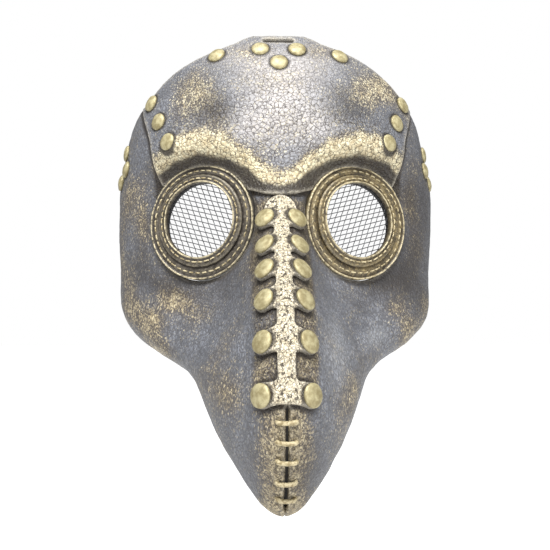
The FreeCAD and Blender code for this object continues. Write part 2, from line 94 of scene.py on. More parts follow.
# ---- form of the left half: poles of one smooth surface ----
# Rows run from beyond the crown edge down to the beak tip. Columns run from the mid
# plane round to beyond the rear edge, and below the chin to the mid plane underneath.
TIP = (0, -160, -141.8)
FORM = [
    [(0, -68, 117), (8, -68, 117), (18, -67, 116), (31, -64, 114), (47, -58, 108),
     (63, -48, 99), (76, -36, 86), (87, -22, 73), (93, -8, 61), (96, 4, 53)],
    [(0, -84, 101), (8, -84, 101), (18, -83.5, 101), (32, -80, 99), (51, -73, 93),
     (69, -62, 84.5), (83, -48, 72), (91, -31, 58), (95, -12, 49), (96, 6, 43)],
    [(0, -96.5, 82), (8, -96.5, 82), (19, -96, 82), (34, -93, 80.5), (54, -86, 76),
     (73, -74, 68), (85, -57, 57.5), (92, -38, 47), (96, -15, 41), (97, 8, 36)],
    [(0, -104, 62), (8, -104, 62), (19, -103, 60.5), (34, -99.3, 57.5), (54, -90.5, 54),
     (71, -77.5, 49), (85, -60, 43), (93.5, -41, 36), (96.5, -17, 31), (96, 8, 27)],
    [(0, -107, 46), (8, -107, 46), (19, -107.5, 44), (32, -107, 43), (49, -104, 41.5),
     (66, -92.5, 38), (82, -70.5, 34), (95.5, -45, 28), (97.5, -18, 24), (96.5, 8, 21)],
    [(0, -109, 34), (8, -109, 34), (16, -106, 33), (27, -97.5, 31.5), (43, -87.5, 31),
     (61, -80, 29), (80, -71, 25), (97, -47, 21), (98.5, -18, 18), (97, 8, 15)],
    [(0, -111, 20), (7, -111, 20), (13, -106, 20), (21, -98.5, 20), (38, -92, 20),
     (57, -84.5, 19), (75, -77, 17), (97.5, -49, 13), (99, -18, 11), (97, 8, 9)],
    [(0, -117, 4), (8, -116, 4), (12.8, -108.5, 3), (19, -101, 3), (36, -95.5, 3),
     (55, -87.5, 3), (73.5, -80, 3), (97.5, -51, 2), (99, -18, 2), (97, 8, 1)],
    [(0, -137, -13), (8, -135, -13), (13, -120, -13.5), (20, -102.5, -14), (36, -96.8, -14),
     (55, -89.5, -14), (73.5, -81.5, -14), (97, -52, -10), (98.5, -18, -8), (96.5, 8, -6)],
    [(0, -156, -29), (8.2, -154, -29), (14.5, -140, -30), (23, -111, -31), (37, -98, -32),
     (55, -91, -32), (75, -81.5, -31), (96, -52, -24), (97.5, -18, -19), (95.5, 8, -15)],
    [(0, -172, -46), (8.4, -169.5, -46), (17.5, -152.5, -47), (28, -125.5, -49), (41, -105, -50),
     (57, -94, -49), (78, -79, -46), (95.5, -52, -39), (97, -18, -32), (95, 8, -26)],
    [(0, -184, -65), (9, -181, -65), (20.5, -162.5, -66), (33.2, -138, -67), (44, -116, -68),
     (59, -98, -67), (81, -80, -66), (97, -48, -59), (97, -16, -50), (95, 8, -42)],
    [(0, -190, -84), (9.5, -187, -84), (22.5, -168.5, -84), (35.6, -148, -84), (43.5, -126.5, -85),
     (44.5, -107, -85), (45, -86, -83), (64, -50, -81), (86, -16, -75), (92, 8, -66)],
    [(0, -190, -102), (9.5, -187, -102), (21.8, -171, -102), (32.2, -152.5, -102),
     (37.6, -131.5, -102), (36.5, -111, -102),
     (30, -94, -101), (19, -86, -100.5), (7, -84, -100), (-6, -84, -100)],
    [(0, -185, -117), (8, -182.5, -117), (17.8, -169.5, -117), (25.2, -154.5, -117),
     (27.6, -139.5, -117), (25, -127, -116),
     (19, -117, -114), (10, -111, -113), (2, -109, -112), (-6, -109, -112)],
    [(0, -177, -130), (6.3, -175, -130), (12.3, -167, -130), (16.8, -157.5, -130), (17.6, -149, -130),
     (15, -142, -129), (11, -136, -128), (6, -133, -127), (1, -132, -127), (-4, -132, -127)],
    [(0, -167, -141), (3.5, -166.5, -141), (6, -164, -141), (7.3, -161, -141), (7.3, -158.5, -141),
     (6.5, -156, -141), (4.5, -154, -140.5), (2.5, -152.5, -140), (0, -152, -140), (-2, -152, -140)],
    [TIP] * 10,
]

# Rear edge in side view, (y, z) from the chin up to the hairline.
REAR_EDGE = [(-90, -106), (-87, -96), (-79, -85), (-62, -81), (-45, -77.5), (-25, -68.5), (-8, -54),
             (0, -35), (0, -4), (-7, 10), (-18, 24), (-25, 36), (-31, 46), (-39, 56), (-49, 64),
             (-61, 72)]
# Crown edge in front view, (x, z) from the tab's corner out to the temple.
CROWN_EDGE = [(19.5, 104.9), (24.5, 102.3), (30, 100.3), (38, 97.6), (46, 94.4), (56, 89),
              (64, 83), (71, 76), (77, 69)]
TAB_HALF = 15.0
TAB_TOP_Z = 106.9
# Side edge of the forehead plate in front view, (x, z) from the temple corner to the bezel.
PLATE_SIDE = [(79, 66.0), (77.5, 60), (74, 50), (71.5, 40), (69, 30), (66, 22), (60, 14)]
PLATE_TONGUE = [(17.5, 16.5), (9, 14.2), (0, 13.4)]
STRIP_END_Z = -85.0
STRIP_END_BOW = 0.035       # how fast the strip's end falls away from the middle, per mm


# ---- the smooth form ----
def knot_row(poles):
    return np.concatenate([np.zeros(3), np.linspace(0, 1, poles - 2), np.ones(3)])


def pole_weights(poles, t, slope=False):
    """Cubic weight of each pole at each parameter, or its slope."""
    k = knot_row(poles)
    t = np.clip(t, 0, 1 - 1e-9)
    w = [((k[i] <= t) & (t < k[i + 1])).astype(float) for i in range(poles + 3)]
    for degree in range(1, 4):
        raised = []
        for i in range(len(w) - 1):
            rise = k[i + degree] - k[i]
            fall = k[i + degree + 1] - k[i + 1]
            if slope and degree == 3:
                up = degree / rise * w[i] if rise else 0 * t
                down = degree / fall * w[i + 1] if fall else 0 * t
                raised.append(up - down)
            else:
                up = (t - k[i]) / rise * w[i] if rise else 0 * t
                down = (k[i + degree + 1] - t) / fall * w[i + 1] if fall else 0 * t
                raised.append(up + down)
        w = raised
    return np.stack(w, -1)


def form_grid(u, v):
    """Points and outward normals of the form on a grid; negative v is the right half."""
    poles = np.array(FORM, float)
    rows, columns = poles.shape[:2]
    across = np.abs(v)
    bu, bv = pole_weights(rows, u), pole_weights(columns, across)
    du, dv = pole_weights(rows, u, True), pole_weights(columns, across, True)
    point = np.einsum("ij,kl,jlc->ikc", bu, bv, poles)
    down = np.einsum("ij,kl,jlc->ikc", du, bv, poles)
    side = np.einsum("ij,kl,jlc->ikc", bu, dv, poles)
    normal = np.cross(down, side)
    length = np.linalg.norm(normal, axis=-1, keepdims=True)
    tip = length[..., 0] < 1e-3
    normal = normal / np.maximum(length, 1e-9)
    normal[tip] = np.array([0, -0.1, -1.0]) / math.hypot(0.1, 1.0)
    flip = np.where(v < 0, -1.0, 1.0)
    point[..., 0] *= flip
    normal[..., 0] *= flip
    return point, normal


def even_parameters(low, high, step, along_u):
    """Parameters from low to high whose points are about one step apart."""
    t = np.linspace(low, high, 400)
    other = np.linspace(0.02, 0.9, 9)
    grid = form_grid(t, other)[0] if along_u else form_grid(other, t)[0].transpose(1, 0, 2)
    gaps = np.linalg.norm(np.diff(grid, axis=0), axis=-1).mean(1)
    run = np.concatenate([[0], np.cumsum(gaps)])
    count = max(4, int(run[-1] / step))
    return np.interp(np.linspace(0, run[-1], count + 1), run, t)


class Grid:
    """Points and normals of a patch of the form, about one step apart."""

    def __init__(self, u_range, v_range, step):
        self.u = even_parameters(*u_range, step, True)
        low, high = v_range
        if low < 0:
            half = even_parameters(0, high, step, False)
            self.v = np.concatenate([-half[:0:-1], half])
        else:
            self.v = even_parameters(low, high, step, False)
        self.point, self.normal = form_grid(self.u, self.v)


# ---- outlines as distances, in millimetres, positive inside ----
def smooth_line(points, steps=8):
    """A Catmull-Rom curve through points."""
    p = np.array(points, float)
    p = np.vstack([2 * p[0] - p[1], p, 2 * p[-1] - p[-2]])
    out = []
    for i in range(1, len(p) - 2):
        for t in np.linspace(0, 1, steps, endpoint=False):
            out.append(0.5 * (2 * p[i] + (p[i + 1] - p[i - 1]) * t
                              + (2 * p[i - 1] - 5 * p[i] + 4 * p[i + 1] - p[i + 2]) * t ** 2
                              + (3 * p[i] - p[i - 1] - 3 * p[i + 1] + p[i + 2]) * t ** 3))
    return np.array(out + [p[-2]])


def gap_to_segment(a, b, p, q):
    """Distance of the points (a, b) from the segment p to q."""
    edge = np.subtract(q, p)
    t = np.clip(((a - p[0]) * edge[0] + (b - p[1]) * edge[1]) / (edge @ edge), 0, 1)
    return np.hypot(a - p[0] - t * edge[0], b - p[1] - t * edge[1])


def inside_polygon(a, b, outline):
    """Distance of the points (a, b) from a closed outline, positive inside it."""
    outline = np.asarray(outline, float)
    nearest = np.full(a.shape, 1e9)
    inside = np.zeros(a.shape, bool)
    for p, q in zip(outline, np.roll(outline, -1, axis=0)):
        if (p == q).all():
            continue
        edge = q - p
        nearest = np.minimum(nearest, gap_to_segment(a, b, p, q))
        if p[1] != q[1]:
            crosses = (p[1] > b) != (q[1] > b)
            inside ^= crosses & (a < p[0] + (b - p[1]) * edge[0] / edge[1])
    return np.where(inside, nearest, -nearest)


def in_front_of_rear_edge(point):
    edge = [tuple(p) for p in smooth_line(REAR_EDGE)]
    outline = edge + [(-50, 90), (-50, 150), (-320, 150), (-320, -180), (-70, -180), (-70, -106)]
    return inside_polygon(point[..., 1], point[..., 2], outline)


def below_crown_edge(point):
    edge = [tuple(p) for p in smooth_line([(TAB_HALF, TAB_TOP_Z)] + CROWN_EDGE)]
    outline = [(-150, TAB_TOP_Z)] + edge + [(150, 66), (150, -200), (-150, -200)]
    return inside_polygon(np.abs(point[..., 0]), point[..., 2], outline)


def in_plate(point):
    edge = [tuple(p) for p in smooth_line(PLATE_SIDE)]
    outline = [(-90, 150), (79, 150)] + edge + [(40, 4), (22, 8)] + PLATE_TONGUE
    outline += [(-90, PLATE_TONGUE[-1][1])]
    return inside_polygon(np.abs(point[..., 0]), point[..., 2], outline)


def outside_bore(point, eye, radius):
    offset = point - eye["centre"]
    height = offset @ eye["out"]
    radial = np.linalg.norm(offset - height[..., None] * eye["out"], axis=-1)
    return np.where(np.abs(height) < BORE_DEPTH, radial - radius, FAR)


def outside_slot(point, mount, length, upright):
    """Distance from the wall of a strap slot, positive in the leather."""
    centre = np.array(MOUNTS[mount]["pos_m"]) / MM
    out = np.array(MOUNTS[mount]["axis"], float)
    long = np.array([0, 0, 1.0]) if upright else np.array([1.0, 0, 0])
    long = long - out * (long @ out)
    long /= np.linalg.norm(long)
    offset = point - centre
    depth = np.abs(offset @ out)
    s = np.abs(offset @ long) - (length - SLOT_WIDTH) / 2
    w = np.linalg.norm(offset - (offset @ out)[..., None] * out
                       - (offset @ long)[..., None] * long, axis=-1)
    gap = np.hypot(np.maximum(s, 0), w) - SLOT_WIDTH / 2
    return np.where(depth < SLOT_DEPTH, gap, FAR)


# ---- places read from the CAD model ----
def unique_points(node):
    data = NODES[node].data
    co = np.zeros(len(data.vertices) * 3)
    data.vertices.foreach_get("co", co)
    co = co.reshape(-1, 3) / MM
    loops = np.zeros(len(data.loops), int)
    data.loops.foreach_get("vertex_index", loops)
    merged, index = np.unique(np.round(co, 3), axis=0, return_inverse=True)
    return merged, index.reshape(-1)[loops].reshape(-1, 3)


def solids_of(node):
    """Corner points of each separate solid of a node."""
    points, triangles = unique_points(node)
    label = np.arange(len(points))
    while True:
        low = label[triangles].min(axis=1)
        new = label.copy()
        for corner in range(3):
            np.minimum.at(new, triangles[:, corner], low)
        new = new[new]
        if (new == label).all():
            break
        label = new
    return [points[label == name] for name in np.unique(label)]


def level_axes(out):
    """Sideways and upward directions square to an outward one."""
    across = np.cross([0, 0, 1.0], out)
    across /= np.linalg.norm(across)
    return across, np.cross(out, across)


def read_eye(side):
    """Centre, axes and radius of a bezel, at the height where the seat is."""
    points = unique_points(f"eye_bezel_{side}")[0]
    middle = (points.min(0) + points.max(0)) / 2
    out = np.linalg.svd(points - points.mean(0), full_matrices=False)[2][2]
    out = out * (-1 if out[1] > 0 else 1)
    height = (points - middle) @ out
    flat = points - height[:, None] * out - middle
    radius = np.linalg.norm(flat, axis=1).max()
    across, up = level_axes(out)
    return {"centre": middle + out * (height.max() - BEAD_TOP), "out": out, "across": across,
            "up": up, "radius": radius}


EYES = {side: read_eye(side) for side in SIDES}
LOOKUP = Grid((0.0, 0.97), (-0.99, 0.99), 1.0)


def foot_on_form(place):
    """Nearest point of the form and its outward normal."""
    gap = np.linalg.norm(LOOKUP.point - place, axis=-1)
    i, j = np.unravel_index(gap.argmin(), gap.shape)
    return {"foot": LOOKUP.point[i, j], "normal": LOOKUP.normal[i, j]}


def rivet_places(node):
    return [foot_on_form((corners.min(0) + corners.max(0)) / 2) for corners in solids_of(node)]


RIVET_NODES = ["crown_rivets"] + [f"{group}_rivets_{side}" for group in ("brow", "temple", "nose")
                                  for side in SIDES]
RIVETS = {node: rivet_places(node) for node in RIVET_NODES}
STAPLES_Z = sorted((corners.mean(0)[2] for corners in solids_of("beak_stitches")), reverse=True)


# ---- smooth random fields ----
def wobble(point, size, seed, waves=28):
    """A smooth random field, about -1 to 1, with bumps of the given size."""
    random = np.random.RandomState(seed)
    total = np.zeros(point.shape[:-1])
    for _ in range(waves):
        direction = random.normal(size=3)
        direction /= np.linalg.norm(direction)
        pitch = size * random.uniform(1.4, 3.0)
        total += np.sin(point @ direction * (2 * math.pi / pitch) + random.uniform(0, 2 * math.pi))
    return total / math.sqrt(waves)


def soft_step(value, low, high):
    t = np.clip((value - low) / (high - low), 0, 1)
    return t * t * (3 - 2 * t)


def patch(point, x, z, rx, rz, turn=0.0):
    """A soft oval patch in front view, 1 at its middle."""
    a, b = point[..., 0] - x, point[..., 2] - z
    c, s = math.cos(math.radians(turn)), math.sin(math.radians(turn))
    return np.exp(-((a * c + b * s) / rx) ** 2 - ((b * c - a * s) / rz) ** 2)


def near_line(point, line, width):
    """1 on a line drawn in front view, falling off over a width."""
    a, b = point[..., 0], point[..., 2]
    nearest = np.full(a.shape, 1e9)
    for p, q in zip(line, line[1:]):
        nearest = np.minimum(nearest, gap_to_segment(a, b, p, q))
    return np.exp(-(nearest / width) ** 2)


# ---- meshes ----
def new_object(name, points, faces, material, fields=None):
    mesh = bpy.data.meshes.new(name)
    mesh.from_pydata((np.asarray(points) * MM).tolist(), [], faces)
    mesh.validate()
    for field, values in (fields or {}).items():
        attribute = mesh.attributes.new(field, "FLOAT", "POINT")
        attribute.data.foreach_set("value", np.asarray(values, np.float32))
    mesh.polygons.foreach_set("use_smooth", [True] * len(mesh.polygons))
    mesh.materials.append(material)
    mesh.update()
    obj = bpy.data.objects.new(name, mesh)
    bpy.context.scene.collection.objects.link(obj)
    return obj


def finish_piece(obj, node):
    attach(obj, "root")
    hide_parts(node)


def cut_cells(distance, snap):
    """Cells of a grid where the distance is positive, cut along the zero line."""
    rows, columns = distance.shape
    flat = distance.ravel().copy()
    flat[np.abs(flat) < snap] = 1e-6
    inside = flat > 0
    index = np.full(rows * columns, -1)
    kept = np.flatnonzero(inside)
    index[kept] = np.arange(len(kept))
    first, second, share = list(kept), list(kept), [0.0] * len(kept)
    corner = (np.arange(rows - 1)[:, None] * columns + np.arange(columns - 1)).ravel()
    cells = np.stack([corner, corner + columns, corner + columns + 1, corner + 1], 1)
    count = inside[cells].sum(1)
    faces = index[cells[count == 4]].tolist()
    crossings = {}

    def crossing(i, j):
        key = (min(i, j), max(i, j))
        if key not in crossings:
            crossings[key] = len(first)
            first.append(key[0])
            second.append(key[1])
            share.append(flat[key[0]] / (flat[key[0]] - flat[key[1]]))
        return crossings[key]

    for cell in cells[(count > 0) & (count < 4)].tolist():
        face = []
        for i, j in zip(cell, cell[1:] + cell[:1]):
            if inside[i]:
                face.append(int(index[i]))
            if inside[i] != inside[j]:
                face.append(crossing(i, j))
        if len(face) > 2:
            faces.append(face)
    return np.array(first), np.array(second), np.array(share), faces


def border_loops(faces, count):
    """Closed loops of border points, with the sheet on the left."""
    edges = np.concatenate([[(a, b) for a, b in zip(face, face[1:] + face[:1])] for face in faces])
    forward = edges[:, 0].astype(np.int64) * count + edges[:, 1]
    backward = edges[:, 1].astype(np.int64) * count + edges[:, 0]
    border = edges[~np.isin(forward, backward)]
    following = {}
    for a, b in border.tolist():
        following.setdefault(a, []).append(b)
    loops = []
    while following:
        start = next(iter(following))
        loop = [start]
        while True:
            options = following[loop[-1]]
            step = options.pop()
            if not options:
                del following[loop[-1]]
            if step == start or step not in following:
                break
            loop.append(step)
        if len(loop) > 2:
            loops.append(loop)
    return loops


SHORT_LOOP = 120            # points round a slot; longer borders are smoothed more


def shell(name, grid, distance, low, high, material, fields, worn, mirror=False):
    """A leather sheet between two heights over the form, with a rounded edge."""
    step = np.linalg.norm(grid.point[1, 0] - grid.point[0, 0])
    first, second, share, faces = cut_cells(distance - EDGE_ROUND, 0.12 * step)
    count = len(first)

    def pick(values):
        flat = np.asarray(values, float).reshape(distance.size, -1)
        return flat[first] * (1 - share)[:, None] + flat[second] * share[:, None]

    base, normal = pick(grid.point), pick(grid.normal)
    normal /= np.linalg.norm(normal, axis=1, keepdims=True)
    top_height = pick(np.broadcast_to(high, distance.shape))[:, 0]
    values = {key: pick(np.broadcast_to(field, distance.shape))[:, 0]
              for key, field in fields.items()}
    values["edge"] = worn * np.exp(-(pick(distance)[:, 0] / RIM_WEAR) ** 2)
    loops = border_loops(faces, count)
    for loop in loops:
        for _ in range(4 if len(loop) > SHORT_LOOP else 1):
            ring = base[loop]
            base[loop] = (np.roll(ring, 1, axis=0) + 2 * ring + np.roll(ring, -1, axis=0)) / 4
    points = [base + normal * top_height[:, None], base + normal * low]
    data = {key: [value, value] for key, value in values.items()}
    total = 2 * count
    faces_out = [list(face) for face in faces]
    faces_out += [[i + count for i in face[::-1]] for face in faces]
    turns = (0.35, 0.75, 1.15, math.pi / 2)
    for loop in loops:
        ring, up = base[loop], normal[loop]
        tangent = np.roll(ring, -1, axis=0) - np.roll(ring, 1, axis=0)
        out = np.cross(tangent, up)
        out /= np.maximum(np.linalg.norm(out, axis=1, keepdims=True), 1e-9)
        height = top_height[loop][:, None]
        rings = []
        for turn in turns:
            rings.append(ring + out * EDGE_ROUND * math.sin(turn)
                         + up * (height - EDGE_ROUND * (1 - math.cos(turn))))
        rings.append(ring + out * EDGE_ROUND + up * (low + 0.25))
        rings.append(ring + out * (EDGE_ROUND - 0.25) + up * low)
        size = len(loop)
        levels = [list(loop)]
        for row in rings:
            points.append(row)
            levels.append(list(range(total, total + size)))
            total += size
            for key in values:
                data[key].append(values[key][loop] if key != "edge" else np.full(size, worn))
        levels.append([i + count for i in loop])
        for upper, lower in zip(levels, levels[1:]):
            for i in range(size):
                j = (i + 1) % size
                faces_out.append([upper[j], upper[i], lower[i], lower[j]])
    points = np.concatenate(points)
    if mirror:
        points = points * np.array([-1, 1, 1])
        faces_out = [face[::-1] for face in faces_out]
    return new_object(name, points, faces_out, material,
                      {key: np.concatenate(value) for key, value in data.items()})


def to_frame(points, origin, across, up, out):
    points = np.asarray(points, float)
    return origin + points[:, :1] * across + points[:, 1:2] * up + points[:, 2:] * out


def band_faces(levels, size):
    """Faces between neighbouring rings of points."""
    return [[a + i, a + (i + 1) % size, a + size + (i + 1) % size, a + size + i]
            for a in range(0, (levels - 1) * size, size) for i in range(size)]


def on_eye(points, eye):
    return to_frame(points, eye["centre"], eye["across"], eye["up"], eye["out"])


def lathe(profile, segments):
    """Points and faces of a turned ring; profile rows are (radius, height, shift up)."""
    points = []
    angle = np.linspace(0, 2 * math.pi, segments, endpoint=False)
    for radius, height, shift in profile:
        points.append(np.stack([radius * np.cos(angle), radius * np.sin(angle) + shift,
                                np.full(segments, height)], 1))
    return np.concatenate(points), band_faces(len(profile), segments)


def tube(path, radius, sides, squash=1.0):
    """A round bar along a path, with domed ends."""
    path = np.asarray(path, float)
    tangent = np.gradient(path, axis=0)
    tangent /= np.linalg.norm(tangent, axis=1, keepdims=True)
    side = np.cross(tangent, (0.0, 0.0, 1.0))
    side /= np.maximum(np.linalg.norm(side, axis=1, keepdims=True), 1e-9)
    up = np.cross(side, tangent)
    angle = np.linspace(0, 2 * math.pi, sides, endpoint=False)
    rings = [(path[0] - tangent[0] * radius * 0.85, side[0], up[0], 0.35)]
    rings.append((path[0] - tangent[0] * radius * 0.45, side[0], up[0], 0.8))
    rings += [(p, s, w, 1.0) for p, s, w in zip(path, side, up)]
    rings.append((path[-1] + tangent[-1] * radius * 0.45, side[-1], up[-1], 0.8))
    rings.append((path[-1] + tangent[-1] * radius * 0.85, side[-1], up[-1], 0.35))
    points = [p + radius * scale * (np.cos(angle)[:, None] * s + squash * np.sin(angle)[:, None] * w)
              for p, s, w, scale in rings]
    faces = band_faces(len(rings), sides)
    faces.append(list(range(sides))[::-1])
    last = (len(rings) - 1) * sides
    faces.append(list(range(last, last + sides)))
    return np.concatenate(points), faces


def join(parts):
    points, faces, start = [], [], 0
    for part_points, part_faces in parts:
        points.append(part_points)
        faces += [[i + start for i in face] for face in part_faces]
        start += len(part_points)
    return np.concatenate(points), faces


def solid_piece(name, points, faces, material, node, fields=None):
    """A piece made of closed solids, its faces turned outward."""
    obj = new_object(name, points, faces, material, fields)
    bm = bmesh.new()
    bm.from_mesh(obj.data)
    bmesh.ops.recalc_face_normals(bm, faces=bm.faces)
    bm.to_mesh(obj.data)
    bm.free()
    finish_piece(obj, node)


# ---- materials ----
class Nodes:
    """Short calls for building one material."""

    def __init__(self, name):
        self.material = bpy.data.materials.new(name)
        self.material.use_nodes = True
        self.tree = self.material.node_tree
        self.shader = self.tree.nodes["Principled BSDF"]
        self.coords = self.tree.nodes.new("ShaderNodeTexCoord").outputs["Object"]

    def put(self, socket, value):
        if isinstance(value, (int, float)):
            socket.default_value = value
        elif isinstance(value, tuple):
            socket.default_value = value + (1.0,) * (len(socket.default_value) - len(value))
        else:
            self.tree.links.new(value, socket)

    def math(self, operation, a, b=0.0, c=0.0, clamp=False):
        node = self.tree.nodes.new("ShaderNodeMath")
        node.operation = operation
        node.use_clamp = clamp
        for socket, value in zip(node.inputs, (a, b, c)):
            self.put(socket, value)
        return node.outputs[0]

    def times(self, a, b):
        return self.math("MULTIPLY", a, b)

    def mix(self, factor, a, b):
        node = self.tree.nodes.new("ShaderNodeMix")
        node.data_type = "RGBA"
        node.clamp_factor = True
        self.put(node.inputs["Factor"], factor)
        self.put(node.inputs[6], a)
        self.put(node.inputs[7], b)
        return node.outputs[2]

    def scaled(self, scale, coords=None):
        node = self.tree.nodes.new("ShaderNodeMapping")
        self.put(node.inputs["Scale"], scale)
        self.tree.links.new(coords or self.coords, node.inputs["Vector"])
        return node.outputs[0]

    def noise(self, size, detail=3.0, rough=0.55, coords=None, colour=False):
        """Noise with features of a size in millimetres."""
        node = self.tree.nodes.new("ShaderNodeTexNoise")
        self.put(node.inputs["Scale"], 1.0 / (size * MM))
        self.put(node.inputs["Detail"], float(detail))
        self.put(node.inputs["Roughness"], rough)
        self.tree.links.new(coords or self.coords, node.inputs["Vector"])
        return node.outputs["Color" if colour else "Fac"]

    def warped(self, size, amount, coords=None):
        """Coordinates pushed about by noise, both in millimetres."""
        source = coords or self.coords
        drift = self.noise(size, 2.0, 0.5, source, colour=True)
        shift = self.tree.nodes.new("ShaderNodeVectorMath")
        shift.operation = "SUBTRACT"
        self.tree.links.new(drift, shift.inputs[0])
        shift.inputs[1].default_value = (0.5, 0.5, 0.5)
        push = self.tree.nodes.new("ShaderNodeVectorMath")
        push.operation = "MULTIPLY_ADD"
        self.tree.links.new(shift.outputs[0], push.inputs[0])
        push.inputs[1].default_value = (2 * amount * MM,) * 3
        self.tree.links.new(source, push.inputs[2])
        return push.outputs[0]

    def cells(self, size, coords):
        """Distance to the nearest cell wall, in cell sizes."""
        node = self.tree.nodes.new("ShaderNodeTexVoronoi")
        node.feature = "DISTANCE_TO_EDGE"
        self.put(node.inputs["Scale"], 1.0 / (size * MM))
        self.tree.links.new(coords, node.inputs["Vector"])
        return node.outputs["Distance"]

    def field(self, name):
        node = self.tree.nodes.new("ShaderNodeAttribute")
        node.attribute_name = name
        return node.outputs["Fac"]

    def ramp(self, value, low, high, start=0.0, end=1.0):
        node = self.tree.nodes.new("ShaderNodeMapRange")
        node.interpolation_type = "SMOOTHSTEP"
        for socket, number in zip(node.inputs, (value, low, high, start, end)):
            self.put(socket, number)
        return node.outputs[0]

    def bump(self, height, distance, strength=1.0, below=None):
        """Bump whose height of 1 stands a distance in millimetres."""
        node = self.tree.nodes.new("ShaderNodeBump")
        self.put(node.inputs["Strength"], strength)
        self.put(node.inputs["Distance"], distance * MM)
        self.tree.links.new(height, node.inputs["Height"])
        if below is not None:
            self.tree.links.new(below, node.inputs["Normal"])
        return node.outputs[0]

    def surface(self, colour, rough, normal=None, metal=0.0, specular=0.5):
        self.put(self.shader.inputs["Base Color"], colour)
        self.put(self.shader.inputs["Roughness"], rough)
        self.put(self.shader.inputs["Metallic"], metal)
        self.shader.inputs["Specular IOR Level"].default_value = specular
        if normal is not None:
            self.tree.links.new(normal, self.shader.inputs["Normal"])
        return self.material


PALE_COAT = (0.485, 0.455, 0.437)
BROWN_WASH = (0.098, 0.077, 0.055)
GRIT = (0.42, 0.415, 0.41)
STREAK = (0.050, 0.046, 0.046)
# Dark brown-black: partly brown paint, partly painted shade.
UMBER_AND_SHADE = (0.020, 0.016, 0.013)
# Painted sheen, a light blue-grey.
PAINTED_SHEEN = (0.50, 0.515, 0.535)
IN_CREASES = (0.032, 0.027, 0.024)
IN_CRACKS = (0.026, 0.018, 0.012)
IN_PITS = (0.030, 0.021, 0.013)
BARE_RIM = (0.47, 0.43, 0.35)


def shade(colour, share):
    return tuple(share * c for c in colour)


def antique_leather(name, base, gilt, crackle_size, grain_size, crack_width, crack_depth, pitting):
    """Painted leather: blue-grey base, dark cracks, gilding rubbed over what stands high."""
    n = Nodes(name)
    crackle, gold, pale, tone_and_shade = (n.field(key) for key in ("crackle", "gold", "pale", "tone_and_shade"))
    walls = n.cells(crackle_size, n.warped(1.2, 0.45, n.warped(3.5, 0.9)))
    fine = n.cells(grain_size, n.warped(1.3, 0.5, n.scaled((1.0, 1.0, 0.66), n.warped(5.0, 1.5))))
    streak = n.noise(1.9, 4.0, 0.62, n.scaled((1.0, 1.0, 0.35)))
    cloud = n.noise(9.0, 4.0, 0.62)
    grit = n.noise(1.1, 3.0, 0.6)

    open_cracks = n.ramp(walls, 0.01, crack_width, 1.0, 0.0)
    broken = n.ramp(n.noise(2.4, 3.0, 0.6), 0.34, 0.56, 0.35, 1.0)
    cracks = n.times(n.times(open_cracks, broken), crackle)
    creases = n.ramp(fine, 0.02, 0.20, 1.0, 0.0)
    creases = n.times(creases, n.ramp(cloud, 0.30, 0.60, 0.45, 1.0))
    creases = n.times(creases, n.math("SUBTRACT", 0.85, n.times(crackle, 0.70)))

    colour = n.mix(n.ramp(cloud, 0.34, 0.68), shade(base, 0.70), shade(base, 1.15))
    colour = n.mix(n.times(n.ramp(grit, 0.50, 0.72), 0.34), colour, GRIT)
    colour = n.mix(n.times(n.ramp(streak, 0.36, 0.24), 0.45), colour, STREAK)
    cover = n.times(pale, n.ramp(n.noise(3.0, 4.0, 0.65), 0.25, 0.62, 0.72, 1.0))
    colour = n.mix(cover, colour, PALE_COAT)
    colour = n.mix(n.ramp(gold, 0.22, 0.60, 0.0, 0.75), colour, BROWN_WASH)

    speckle = n.math("ADD", n.times(n.noise(1.0, 3.0, 0.62), 0.72),
                     n.times(n.noise(6.0, 3.0, 0.6), 0.28))
    speckle = n.math("SUBTRACT", speckle, n.times(creases, 0.12))
    level = n.math("SUBTRACT", 0.655, n.times(gold, 0.32))
    gilding = n.ramp(n.math("SUBTRACT", speckle, level), -0.05, 0.09)
    gilt_tone = n.mix(n.ramp(n.noise(2.6, 4.0, 0.65), 0.36, 0.68), gilt[0], gilt[1])
    gilt_share = n.math("ADD", 0.62, n.times(gold, 0.36), clamp=True)
    colour = n.mix(n.times(gilding, gilt_share), colour, gilt_tone)
    # A low value turns the colour dark brown-black: partly brown paint, partly painted shade.
    umber_and_shade = n.ramp(tone_and_shade, 0.20, 1.0, 1.0, 0.0)
    colour = n.mix(n.times(umber_and_shade, 0.93), colour, UMBER_AND_SHADE)
    # Painted sheen: a lighter blue-grey where the value rises over 1, on the beak flanks.
    colour = n.mix(n.times(n.ramp(tone_and_shade, 1.0, 1.5), 0.55), colour, PAINTED_SHEEN)
    colour = n.mix(n.times(creases, 0.80), colour, IN_CREASES)
    colour = n.mix(n.times(cracks, crack_depth), colour, IN_CRACKS)
    worm = n.noise(1.5, 1.5, 0.5, n.scaled((1.0, 1.0, 0.75), n.warped(2.2, 0.8)))
    pits = n.times(n.ramp(worm, 0.455, 0.385), n.times(crackle, pitting))
    colour = n.mix(pits, colour, IN_PITS)
    worn = n.times(n.field("edge"), n.ramp(n.noise(3.0, 3.0), 0.30, 0.55, 0.25, 0.8))
    colour = n.mix(worn, colour, BARE_RIM)

    pebbles = n.times(n.ramp(walls, 0.0, 0.30), crackle)
    relief = n.math("SUBTRACT", pebbles, n.times(n.math("ADD", cracks, pits), 0.5))
    normal = n.bump(relief, 0.24)
    grain = n.math("SUBTRACT", n.ramp(fine, 0.0, 0.34), n.times(streak, 0.8))
    normal = n.bump(grain, 0.17, 1.0, normal)
    rough = n.math("ADD", 0.38, n.times(n.noise(2.0, 3.0), 0.24))
    return n.surface(colour, rough, normal, specular=0.45)


def dark_leather():
    n = Nodes("dark_leather")
    colour = n.mix(n.noise(3.0), (0.010, 0.009, 0.008), (0.028, 0.025, 0.022))
    return n.surface(colour, 0.72, n.bump(n.cells(1.2, n.warped(2.0, 0.3)), 0.12), specular=0.25)


